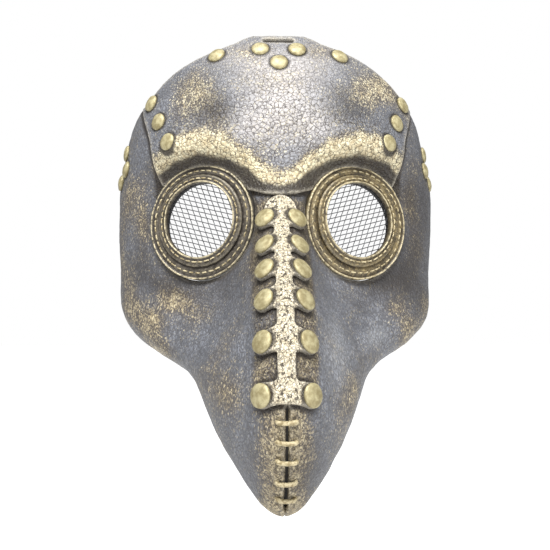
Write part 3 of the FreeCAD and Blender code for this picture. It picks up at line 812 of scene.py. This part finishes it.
def rivet_metal():
    """Antique brass paint on a domed rivet, with dark spots."""
    n = Nodes("rivet_brass")
    cloud = n.noise(3.2, 4.0, 0.62)
    colour = n.mix(n.ramp(cloud, 0.34, 0.7), (0.235, 0.195, 0.095), (0.43, 0.385, 0.225))
    spots = n.ramp(n.noise(0.9, 4.0, 0.7), 0.60, 0.74, 0.0, 0.7)
    colour = n.mix(spots, colour, (0.10, 0.078, 0.035))
    scratches = n.noise(1.2, 5.0, 0.7, n.scaled((1.0, 1.0, 0.3)))
    rough = n.math("ADD", 0.42, n.times(cloud, 0.22))
    return n.surface(colour, rough, n.bump(scratches, 0.06, 0.8), metal=0.30)


def bezel_bronze(name, deep, high):
    n = Nodes(name)
    cloud = n.noise(5.0, 4.0, 0.6, n.warped(6.0, 1.0))
    colour = n.mix(n.ramp(cloud, 0.36, 0.66), deep, high)
    pits = n.ramp(n.cells(0.95, n.warped(2.0, 0.4)), 0.02, 0.2, 0.75, 0.0)
    patchy = n.ramp(n.noise(4.0), 0.4, 0.6)
    colour = n.mix(n.times(pits, patchy), colour, (0.022, 0.016, 0.010))
    brushed = n.ramp(n.noise(1.7, 5.0, 0.7), 0.52, 0.66)
    colour = n.mix(n.times(brushed, 0.55), colour, shade(high, 2.6))
    raised = n.field("raised")
    gilt = n.mix(n.noise(1.4, 3.0, 0.6), (0.42, 0.35, 0.20), (0.62, 0.55, 0.38))
    rub = n.times(raised, n.ramp(n.noise(1.8, 4.0, 0.65), 0.34, 0.58))
    colour = n.mix(rub, colour, gilt)
    low = n.field("low")
    colour = n.mix(n.times(low, 0.85), colour, (0.018, 0.013, 0.009))
    rough = n.math("ADD", 0.34, n.times(cloud, 0.25))
    normal = n.bump(n.noise(1.3, 4.0, 0.6), 0.22)
    return n.surface(colour, rough, normal, metal=0.25)


def thread(name, light, shadow):
    n = Nodes(name)
    strands = n.tree.nodes.new("ShaderNodeTexWave")
    strands.inputs["Scale"].default_value = 900.0
    strands.inputs["Distortion"].default_value = 1.2
    n.tree.links.new(n.coords, strands.inputs["Vector"])
    colour = n.mix(n.ramp(n.noise(1.6, 4.0), 0.35, 0.62), shadow, light)
    normal = n.bump(strands.outputs["Fac"], 0.08, 0.7)
    return n.surface(colour, 0.55, normal, specular=0.35)


def wire_steel():
    n = Nodes("wire_cloth")
    colour = n.mix(n.noise(1.0), (0.035, 0.036, 0.040), (0.085, 0.085, 0.090))
    return n.surface(colour, 0.42, n.bump(n.noise(0.5), 0.03), metal=0.7)


def dull_plastic():
    n = Nodes("retainer_plastic")
    colour = n.mix(n.noise(4.0), (0.012, 0.012, 0.012), (0.024, 0.023, 0.022))
    return n.surface(colour, 0.6, n.bump(n.noise(0.8), 0.04), specular=0.3)


GREY = (0.148, 0.157, 0.180)
GILT = ((0.35, 0.28, 0.165), (0.70, 0.60, 0.39))
BROW_GILT = ((0.48, 0.395, 0.24), (0.80, 0.73, 0.51))
PALE_GILT = ((0.54, 0.465, 0.32), (0.77, 0.70, 0.545))
STRIP_BASE = (0.40, 0.34, 0.25)
# Last five: size of the crackle and of the grain, width and depth of the cracks, pitting.
LEATHER = antique_leather("antique_leather", GREY, GILT, 2.2, 1.9, 0.085, 0.85, 0.75)
PLATE_LEATHER = antique_leather("plate_leather", GREY, BROW_GILT, 2.4, 1.5, 0.085, 0.85, 0.30)
STRIP_LEATHER = antique_leather("gilt_leather", STRIP_BASE, PALE_GILT, 1.7, 1.0, 0.12, 0.70, 0.85)
DARK = dark_leather()
RIVET = rivet_metal()
# The left bezel's palette is lighter and more olive than the right's: partly its own colour, partly
# painted light.
BRONZE = {"left": bezel_bronze("bezel_bronze_olive_and_lit_left", (0.040, 0.030, 0.016), (0.165, 0.125, 0.058)),
          "right": bezel_bronze("bezel_bronze_right", (0.028, 0.024, 0.020), (0.085, 0.074, 0.060))}
THREAD = thread("gilt_thread", (0.50, 0.43, 0.27), (0.22, 0.17, 0.085))
WIRE = wire_steel()
PLASTIC = dull_plastic()

# ---- where the paint and the painted shade lie, in front view ----
BROW_RIGHT = [(-66, 33), (-57, 40), (-43, 43.5), (-27, 40), (-15, 33), (-8, 24)]
BROW_LEFT = [(66, 34), (60, 40), (43, 43.5), (26, 39.5), (13, 31), (7, 24)]
CHEEK_FOLDS = [             # height, line, half width
    (1.5, [(-36, -44), (-54, -48), (-70, -60)], 6.0),
    (1.2, [(38, -46), (54, -50), (72, -63)], 6.0),
    (-1.1, [(-40, -58), (-54, -66)], 8.0),
    (-1.1, [(42, -60), (56, -68)], 8.0)]
TEMPLE_DIPS = ([(-45, 58), (-30, 55), (-22, 48)], [(47, 58), (32, 55), (24, 48)])
BROW_CREST = np.array(BROW_RIGHT + [(0, 21)] + BROW_LEFT[::-1], float)


# Soft oval patches in front view: strength, x, z, half width, half height, turn in degrees.
GOLD_PATCHES = [
    (0.34, -45, 68, 12, 13), (0.36, 54, 72, 14, 11), (0.10, 2, 62, 20, 22),
    (0.24, -20, 94, 16, 6), (0.26, 24, 95, 14, 6), (0.46, -57, -43, 14, 7, -15),
    (0.50, -71, -55, 9, 9), (0.46, -67, -72, 10, 7), (0.38, -77, -2, 6, 20),
    (0.28, -88, -40, 7, 22), (0.25, -88, 20, 5, 20), (0.38, 76, -62, 9, 12),
    (0.24, 62, -48, 10, 6, 15), (0.24, 78, 12, 6, 22), (0.28, 88, -50, 6, 16),
    (0.30, -30, -88, 9, 14), (0.24, 32, -92, 7, 16), (0.30, 0, -134, 12, 10)]
PALE_PATCHES = [
    (0.85, 1, 62, 20, 24), (0.50, 0, 84, 26, 12), (0.45, -18, 50, 12, 10), (0.45, 20, 50, 12, 10),
    (0.28, -24, 92, 16, 8), (0.22, 24, 92, 16, 8)]
# Patches that darken and lighten the paint; they also carry painted shade, as below the left bezel,
# and painted sheen on the beak flanks.
TONE_AND_SHADE_PATCHES = [
    (-0.50, -33, 60, 12, 12), (-0.40, 37, 62, 12, 15), (-0.22, -52, 78, 16, 12),
    (-0.18, -28, 84, 14, 8), (-0.22, -52, 56, 12, 8), (-0.20, 56, 56, 12, 8),
    (-0.25, 0, 17, 12, 5), (-0.46, -62, -34, 15, 8, -10), (-0.30, -44, -40, 12, 8),
    (-0.38, -78, -22, 10, 18), (-0.26, -72, 14, 9, 20), (-0.60, 60, -32, 16, 13),
    (-0.42, 76, -14, 11, 24), (-0.36, 76, 20, 10, 20), (-0.30, 82, -44, 10, 16),
    (-0.26, 40, -46, 12, 12), (-0.28, 88, 10, 7, 40), (-0.25, 17, -20, 8, 26),
    (-0.22, -17, -20, 8, 26), (-0.30, 14, -118, 9, 22), (0.10, -24, -70, 12, 26),
    (0.30, 26, -62, 11, 28), (0.30, 52, -62, 10, 9), (-0.30, -30, -28, 9, 18),
    (-0.14, -26, -52, 10, 22)]


def painted(point, patches):
    return sum(row[0] * patch(point, *row[1:]) for row in patches)


def paint(point, piece, contact_shadow):
    """Gilding, pale coat, crackle, and how dark the paint is with painted shade, over a leather
    piece.
    """
    x, z = point[..., 0], point[..., 2]
    rise = z - np.interp(x, BROW_CREST[:, 0], BROW_CREST[:, 1])
    inside = soft_step(72 - np.abs(x), 0, 6) * (point[..., 1] < -60)
    brow = np.exp(-((rise + 1.5) / np.where(rise > -1.5, 5.2, 4.2)) ** 2) * inside
    brow *= 1 - 0.40 * np.exp(-(x / 10.0) ** 2)
    under = soft_step(-2.8 - rise, 0, 4.5) * soft_step(z - 12, 0, 4) * inside
    near_brow = np.exp(-(rise / 16.0) ** 2) * inside
    seam = np.exp(-(x / 9.0) ** 2) * soft_step(-82 - z, 0, 6)
    gold = 0.245 + 0.09 * wobble(point, 14, 3) + brow + 0.25 * under + 0.60 * seam
    gold += painted(point, GOLD_PATCHES)
    pale = painted(point, PALE_PATCHES)
    crackle = 0.25 + 0.80 * patch(point, 0, 60, 34, 34)
    crackle += 0.9 * near_brow + 0.9 * under + 0.85 * seam
    # Painted shade under the brow roll; the paint also darkens towards the back.
    tone_and_shade = 0.97 - 0.78 * under - 0.30 * seam - 0.30 * soft_step(point[..., 1], -75, -20)
    tone_and_shade += painted(point, TONE_AND_SHADE_PATCHES)
    if piece == "panel":
        strip = soft_step(17 - np.abs(x), 0, 4)
        strip *= soft_step(z + 88, 0, 4) * soft_step(14 - z, 0, 6)
        crackle = np.maximum(crackle, 0.85 * strip)
        gold += 0.30 * strip
        tone_and_shade -= 0.24 * strip
    if piece == "strip":
        gold, crackle, pale, tone_and_shade = (level + 0 * x for level in (1.10, 1.0, 0.3, 1.0))
    # Painted shadow where pieces meet: darker beside neighbouring pieces, rivets and bezels.
    tone_and_shade = tone_and_shade - 0.75 * contact_shadow
    return {"gold": np.clip(gold, 0, 1.2), "crackle": np.clip(crackle, 0, 1),
            "pale": np.clip(pale, 0, 1), "tone_and_shade": np.clip(tone_and_shade, 0, 1.6)}


def beside(distance, width=1.5):
    """1 next to a neighbouring piece, falling off away from it: the mask of painted shadow where
    pieces meet.
    """
    return np.exp(-(np.maximum(distance, 0) / width) ** 2)


def beside_rivets(point, nodes):
    nearest = np.full(point.shape[:-1], 1e9)
    for node in nodes:
        for place in RIVETS[node]:
            nearest = np.minimum(nearest, np.linalg.norm(point - place["foot"], axis=-1))
    return beside(nearest - (NOSE_RIVET_R if "nose" in nodes[0] else RIVET_R), 1.2)


def leather_relief(point, seed):
    """Slight unevenness of moulded leather."""
    return 0.30 * wobble(point, 16, seed) + 0.10 * wobble(point, 5, seed + 1) \
        + 0.045 * wobble(point, 2.2, seed + 2, 40)


# ---- leather pieces ----
def blended_min(a, b, width):
    """Smaller of two distances, with a fillet where they meet."""
    h = np.clip(0.5 + 0.5 * (b - a) / width, 0, 1)
    return b + (a - b) * h - width * h * (1 - h)


def distance_to_line(point, line):
    """Distance from points to the nearest segment of a line in space."""
    nearest = np.full(point.shape[:-1], 1e9)
    for p, q in zip(line, line[1:]):
        edge = q - p
        t = np.clip(((point - p) @ edge) / (edge @ edge), 0, 1)
        nearest = np.minimum(nearest, np.linalg.norm(point - p - t[..., None] * edge, axis=-1))
    return nearest


def outside_strip(point):
    """Distance outside the nose strip's outline, negative on the strip."""
    middle = int(np.argmin(np.abs(LOOKUP.v)))
    crest = LOOKUP.point[:, middle]
    band = crest[(crest[:, 2] < ARCH_Z) & (crest[:, 2] > STRIP_END_Z - 6)][::3]
    outside = distance_to_line(point, band) - BAND_HALF
    arch = crest[np.argmin(np.abs(crest[:, 2] - ARCH_Z))]
    outside = blended_min(outside, np.linalg.norm(point - arch, axis=-1) - ARCH_R, 1.5)
    for side in SIDES:
        for place in RIVETS[f"nose_rivets_{side}"]:
            foot = place["foot"]
            nearest = crest[np.argmin(np.linalg.norm(crest - foot, axis=1))]
            gap = distance_to_line(point, [foot, nearest]) - RIB_HALF
            outside = blended_min(outside, gap, RIB_BLEND)
    end = STRIP_END_Z - STRIP_END_BOW * point[..., 0] ** 2 - point[..., 2]
    return np.maximum(outside, end)


def make_panel(side, quick):
    mirror = SIDES[side] < 0
    grid = Grid((0.0, 0.995), (0.0, 1.0), PANEL_STEPS[bool(quick)])
    point = grid.point
    turned = np.array([SIDES[side], 1, 1])
    seen = point * turned
    seam = np.where(point[..., 2] < GROOVE_TOP_Z, 0.0, 1.0)
    groove = soft_step(GROOVE_OPENS_Z - point[..., 2], 0, 2)
    groove *= soft_step(point[..., 2] - GROOVE_END_Z, 0, 2)
    groove *= point[..., 1] < GROOVE_FRONT_Y
    middle = point[..., 0] - SEAM_HALF - (GROOVE_HALF - SEAM_HALF) * groove
    middle += (EDGE_ROUND - 0.05) * (1 - groove) * seam
    mount = f"temple_strap_slot_{side}"
    eye = {key: (value * turned if np.ndim(value) else value)
           for key, value in EYES[side].items()}
    distance = np.minimum.reduce([
        in_front_of_rear_edge(point), below_crown_edge(point), middle,
        outside_bore(point, eye, eye["radius"] + BORE_GAP),
        outside_slot(seen, mount, TEMPLE_SLOT_LENGTH, True),
        outside_slot(point, "crown_strap_slot", CROWN_SLOT_LENGTH, False)])
    relief = leather_relief(seen, 11)
    covered = soft_step(in_plate(point), -4, 2)
    under_strip = soft_step(15 - np.abs(point[..., 0]), 0, 6) * (point[..., 2] > -90)
    covered = np.maximum(covered, under_strip)
    relief = relief * (1 - covered)
    lips = np.exp(-((point[..., 0] - 3.2) / 2.6) ** 2) * groove
    pinch = np.exp(-(np.min([np.abs(point[..., 2] - z) for z in STAPLES_Z], axis=0) / 2.2) ** 2)
    relief += lips * (0.55 - 0.75 * pinch)
    for height, line, width in CHEEK_FOLDS:
        relief += height * near_line(seen, line, width)
    # Painted shadow beside the forehead plate, the nose strip, the bezel and the temple rivets.
    contact_shadow = np.maximum.reduce([
        beside(-in_plate(point)) * (point[..., 2] > 8), beside(outside_strip(point), 1.8),
        0.8 * beside(outside_bore(point, eye, eye["radius"]), 2.2),
        beside_rivets(seen, [f"temple_rivets_{side}"])])
    obj = shell(f"mask_panel_{side}", grid, distance, -PANEL_T, relief, LEATHER,
                paint(seen, "panel", contact_shadow), worn=0.25, mirror=mirror)
    finish_piece(obj, f"face_panel_{side}")


def make_plate(quick):
    grid = Grid((0.0, 0.46), (-0.80, 0.80), PLATE_STEPS[bool(quick)])
    point = grid.point
    top = point + grid.normal * (OVERLAY_GAP + OVERLAY_T)
    distance = np.minimum.reduce(
        [in_plate(top), below_crown_edge(top), in_front_of_rear_edge(point),
         outside_slot(point, "crown_strap_slot", CROWN_SLOT_LENGTH, False)]
        + [outside_bore(point, EYES[side], EYES[side]["radius"] + BORE_GAP) for side in SIDES])
    relief = 0.7 * leather_relief(point, 31)
    roll = near_line(point, BROW_RIGHT, 6.5) + near_line(point, BROW_LEFT, 6.5)
    height = OVERLAY_GAP + OVERLAY_T + relief + 0.9 * np.clip(roll, 0, 1)
    for line in TEMPLE_DIPS:
        height -= 0.8 * near_line(point, line, 8)
    # Painted shadow round the rivets and the bezels.
    contact_shadow = np.maximum.reduce(
        [beside_rivets(point, ["crown_rivets", "brow_rivets_left", "brow_rivets_right"])]
        + [0.8 * beside(outside_bore(point, EYES[side], EYES[side]["radius"]), 2.2)
           for side in SIDES])
    obj = shell("mask_forehead_plate", grid, distance, OVERLAY_GAP, height, PLATE_LEATHER,
                paint(point, "plate", contact_shadow), worn=0.7)
    finish_piece(obj, "forehead_plate")


def make_strip(quick):
    grid = Grid((0.36, 0.80), (-0.30, 0.30), STRIP_STEPS[bool(quick)])
    point = grid.point
    relief = 0.5 * leather_relief(point, 51)
    crown = 0.35 * np.exp(-(point[..., 0] / 5.0) ** 2)
    # Painted shadow round the nose rivets.
    contact_shadow = beside_rivets(point, ["nose_rivets_left", "nose_rivets_right"])
    obj = shell("mask_nose_strip", grid, -outside_strip(point), OVERLAY_GAP,
                OVERLAY_GAP + OVERLAY_T + relief + crown, STRIP_LEATHER,
                paint(point, "strip", contact_shadow), worn=0.5)
    finish_piece(obj, "nose_strip")


# ---- eyes ----
BEZEL_PROFILE = [  # radius, height, shift, raised, low
    (27.0, -8.0, 0, 0, 0.6), (31.4, -8.0, 0, 0, 0.6), (31.6, -7.5, 0, 0, 0.3),
    (31.6, 1.6, 0, 0.05, 0.2),
    (31.55, 2.3, 0, 0.5, 0), (31.3, 2.8, 0, 0.9, 0), (30.95, 3.0, 0, 1, 0), (30.6, 2.85, 0, 0.7, 0),
    (30.4, 2.5, 0, 0.1, 0.5), (30.2, 2.15, 0, 0, 0.9), (29.7, 2.1, 0.1, 0, 0.4),
    (28.9, 2.35, 0.2, 0.1, 0), (27.9, 2.55, 0.3, 0.12, 0), (26.9, 2.6, 0.5, 0.05, 0),
    (26.3, 2.5, 0.7, 0, 0.25), (25.6, 2.3, 0.9, 0, 0.6),
    (23.0, 2.1, 1.1, 0, 1), (21.0, 2.1, 1.2, 0, 1), (20.9, 1.2, 1.2, 0, 0.9), (26.8, 1.2, 0, 0, 0.9),
    (26.9, -7.6, 0, 0, 0.6)]
INNER_PROFILE = [
    (25.5, 2.3, 0.8, 0, 0.7), (25.6, 2.9, 0.8, 0.0, 0.3), (25.4, 3.4, 0.8, 0.2, 0),
    (25.0, 3.65, 0.8, 0.25, 0),
    (24.6, 3.9, 0.85, 0.1, 0.1), (23.9, 3.85, 0.9, 0.05, 0.1), (22.9, 3.95, 1.0, 0.1, 0),
    (22.3, 4.0, 1.05, 0.0, 0.3), (21.8, 4.05, 1.1, 0.0, 0.6), (21.5, 4.45, 1.2, 0.6, 0),
    (21.15, 4.85, 1.2, 1, 0), (20.8, 4.75, 1.2, 0.9, 0), (20.6, 4.3, 1.2, 0.5, 0.1),
    (20.5, 2.5, 1.2, 0.1, 0.6), (20.5, 1.3, 1.2, 0, 0.9)]
OUTER_STITCHES = (44, 28.2, 2.55, 0.3)     # count, radius, height, shift
INNER_STITCHES = (38, 23.1, 3.95, 1.0)
ASIDE = 0.4                                # sideways share of the shift, away from the nose


def make_ring(part, profile, side):
    segments = 160
    points, faces = lathe([row[:3] for row in profile], segments)
    if profile is BEZEL_PROFILE:
        last = (len(profile) - 1) * segments
        faces += [[last + i, last + (i + 1) % segments, (i + 1) % segments, i]
                  for i in range(segments)]
    points[:, 0] += ASIDE * SIDES[side] * np.repeat([row[2] for row in profile], segments)
    raised = np.repeat([row[3] for row in profile], segments)
    low = np.repeat([row[4] for row in profile], segments)
    world = on_eye(points, EYES[side])
    dents = 0.10 * wobble(world, 3.0, 71) + 0.12 * wobble(world, 9.0, 72)
    ripple = np.where(points[:, 2] > 1.5, dents, 0)
    world = world + ripple[:, None] * EYES[side]["out"]
    solid_piece(f"mask_{part}_{side}", world, faces, BRONZE[side], f"{part}_{side}",
                {"raised": raised, "low": low})


def make_stitches(side):
    random = np.random.RandomState(5 if side == "left" else 6)
    parts = []
    for count, radius, height, shift in (OUTER_STITCHES, INNER_STITCHES):
        half_turn = 1.25 / radius
        for i in range(count):
            middle = 2 * math.pi * (i + random.uniform(-0.07, 0.07)) / count
            reach = half_turn * random.uniform(0.88, 1.08)
            skew = random.uniform(-0.10, 0.10)
            turns = np.linspace(-1, 1, 7)
            angle = middle + turns * reach
            r = radius + turns * skew
            bow = height + 0.42 * (1 - turns ** 4) - 0.12
            aside = ASIDE * SIDES[side] * shift
            path = np.stack([r * np.cos(angle) + aside, r * np.sin(angle) + shift, bow], 1)
            parts.append(tube(path, 0.40 * random.uniform(0.92, 1.08), 8, 0.8))
    points, faces = join(parts)
    solid_piece(f"mask_bezel_stitches_{side}", on_eye(points, EYES[side]), faces, THREAD,
                f"bezel_stitches_{side}")


def make_wire_cloth(side):
    """Plain-woven wires, each passing over and under its neighbours, pulled out of square."""
    mirror = SIDES[side]
    parts = []
    for turn, gap, other in WIRE_LAYS:
        angle = math.radians(turn)
        run = np.array([math.cos(angle), math.sin(angle)])
        step = np.array([-run[1], run[0]])
        lines = int(WIRE_REACH / gap)
        for k in range(-lines, lines + 1):
            offset = k * gap + 0.3
            half = math.sqrt(max(0.0, WIRE_REACH ** 2 - offset ** 2))
            if half < 2:
                continue
            t = np.arange(-half, half, 0.6)
            wave = WIRE_R * 0.9 * np.cos(t * math.pi / other + math.pi * (k % 2))
            flat = t[:, None] * run + (offset + 0.10 * np.sin(t / 9.0 + k))[:, None] * step
            parts.append(tube(np.column_stack([flat[:, 0] * mirror, flat[:, 1], wave]),
                              WIRE_R, 6))
    points, faces = join(parts)
    points[:, 2] += MESH_LEVEL
    solid_piece(f"mask_wire_cloth_{side}", on_eye(points, EYES[side]), faces, WIRE,
                f"eye_mesh_{side}")


def make_eye(side):
    make_ring("eye_bezel", BEZEL_PROFILE, side)
    make_ring("eye_inner_ring", INNER_PROFILE, side)
    make_stitches(side)
    make_wire_cloth(side)


# ---- rivets and staples ----
RIVET_PROFILE = [(0.92, -1.2), (0.985, -0.9), (1.0, -0.2), (0.99, 0.15), (0.93, 0.50), (0.82, 0.82),
                 (0.67, 1.12), (0.48, 1.38), (0.30, 1.55), (0.13, 1.62), (0.004, 1.64)]


def make_rivets(node, seat):
    radius = NOSE_RIVET_R if "nose" in node else RIVET_R
    parts = []
    for number, place in enumerate(RIVETS[node]):
        points, faces = lathe([(r * radius, h, 0) for r, h in RIVET_PROFILE], 40)
        out = place["normal"]
        across, up = level_axes(out)
        dents = 0.10 * wobble(points, 2.6, 90 + number) * (points[:, 2] > 0.2)
        points[:, 2] += dents + seat
        parts.append((to_frame(points, place["foot"], across, up, out), faces))
    points, faces = join(parts)
    solid_piece(f"mask_{node}", points, faces, RIVET, node)


def make_staples():
    parts = []
    grid = Grid((0.70, 0.98), (-0.25, 0.25), 0.5)
    for number, level in enumerate(STAPLES_Z):
        row = int(np.argmin(np.abs(grid.point[:, np.argmin(np.abs(grid.v)), 2] - level)))
        x = grid.point[row, :, 0]
        wanted = np.linspace(-STAPLE_HALF, STAPLE_HALF, 19)
        foot = np.stack([np.interp(wanted, x, grid.point[row, :, k]) for k in range(3)], 1)
        out = np.stack([np.interp(wanted, x, grid.normal[row, :, k]) for k in range(3)], 1)
        bow = 1.25 - 2.1 * np.abs(wanted / STAPLE_HALF) ** 7
        tilt = 0.25 * math.sin(2.3 * number + 1) * wanted / STAPLE_HALF
        path = foot + out * bow[:, None]
        path[:, 2] += tilt
        parts.append(tube(path, STAPLE_R, 12))
    points, faces = join(parts)
    points = points + 0.05 * wobble(points, 1.6, 15)[:, None]
    solid_piece("mask_beak_stitches", points, faces, THREAD, "beak_stitches")


# ---- carried-over CAD pieces ----
def dress(node, material):
    data = NODES[node].data
    data.materials.clear()
    data.materials.append(material)


def dress_hidden_pieces():
    dress("beak_seam_backing", DARK)
    dress("crown_rivet_caps", RIVET)
    for side in SIDES:
        dress(f"temple_patch_{side}", DARK)
        dress(f"mesh_retainer_{side}", PLASTIC)
        for group in ("brow", "temple", "nose"):
            dress(f"{group}_rivet_caps_{side}", RIVET)


# ---- stage ----
CAMERA_AZIMUTH = -1.9       # degrees, the camera stands a little to the wearer's right
CAMERA_DISTANCE = 540.0     # in front of the rear edge
CAMERA_HEIGHT = -29.0       # below the eyes
CAMERA_ASIDE = 0.95
FOCAL_PIXELS = 811.0
FRAME_PIXELS = 550.0
AMBIENT = 0.32
FLOOR_HALF = 6.0            # floor and lights are in metres
FLOOR_Z = -0.60
FLOOR_GLOW = (0.9, 1.5, 0.1, 0.85)      # the floor glows more from the first distance to the second
LIGHTS = [                  # name, place, target, size, watts
    ("key", (-0.14, -0.74, 1.05), (0, -0.08, 0.0), (0.8, 0.5), 34.0),
    ("fill", (0.45, -1.15, -0.05), (0, -0.08, -0.02), (0.6, 0.8), 7.0)]


def make_camera():
    data = bpy.data.cameras.new("camera")
    data.sensor_width = 36.0
    data.lens = data.sensor_width * FOCAL_PIXELS / FRAME_PIXELS
    data.clip_start = 0.01
    camera = bpy.data.objects.new("camera", data)
    turn = math.radians(CAMERA_AZIMUTH)
    ahead = Vector((-math.sin(turn), math.cos(turn), 0))
    aside = Vector((math.cos(turn), math.sin(turn), 0))
    camera.location = (aside * CAMERA_ASIDE - ahead * CAMERA_DISTANCE) * MM
    camera.location.z = CAMERA_HEIGHT * MM
    camera.rotation_euler = ahead.to_track_quat("-Z", "Y").to_euler()
    bpy.context.scene.collection.objects.link(camera)
    bpy.context.scene.camera = camera


def area_light(name, place, target, size, power):
    data = bpy.data.lights.new(name, "AREA")
    data.shape = "RECTANGLE"
    data.size, data.size_y = size
    data.energy = power
    light = bpy.data.objects.new(name, data)
    light.location = place
    light.rotation_euler = (Vector(target) - Vector(place)).to_track_quat("-Z", "Y").to_euler()
    bpy.context.scene.collection.objects.link(light)


def make_stage():
    world = bpy.data.worlds.new("studio")
    world.use_nodes = True
    tree = world.node_tree
    background = tree.nodes["Background"]
    background.inputs["Color"].default_value = (1, 1, 1, 1)
    seen = tree.nodes.new("ShaderNodeLightPath")
    strength = tree.nodes.new("ShaderNodeMapRange")
    strength.inputs["To Min"].default_value = AMBIENT
    strength.inputs["To Max"].default_value = 1.0
    tree.links.new(seen.outputs["Is Camera Ray"], strength.inputs["Value"])
    tree.links.new(strength.outputs[0], background.inputs["Strength"])
    bpy.context.scene.world = world
    mesh = bpy.data.meshes.new("floor")
    corners = [(a * FLOOR_HALF, b * FLOOR_HALF, FLOOR_Z)
               for a, b in ((-1, -1), (1, -1), (1, 1), (-1, 1))]
    mesh.from_pydata(corners, [], [(0, 1, 2, 3)])
    floor = bpy.data.objects.new("floor", mesh)
    bpy.context.scene.collection.objects.link(floor)
    n = Nodes("pale_floor")
    n.surface(n.mix(n.noise(300.0), (0.93, 0.93, 0.93), (0.96, 0.96, 0.96)), 0.9, specular=0.1)
    n.shader.inputs["Emission Color"].default_value = (1, 1, 1, 1)
    away = n.tree.nodes.new("ShaderNodeVectorMath")
    away.operation = "LENGTH"
    n.tree.links.new(n.coords, away.inputs[0])
    n.put(n.shader.inputs["Emission Strength"], n.ramp(away.outputs["Value"], *FLOOR_GLOW))
    mesh.materials.append(n.material)
    for light in LIGHTS:
        area_light(*light)
    bpy.context.scene.view_settings.view_transform = "Standard"


# ---- the mask ----
make_camera()
make_stage()
for side in SIDES:
    make_panel(side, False)
    make_eye(side)
make_plate(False)
make_strip(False)
for node in RIVET_NODES:
    make_rivets(node, PANEL_SEAT if node.startswith("temple") else OVERLAY_SEAT)
make_staples()
dress_hidden_pieces()
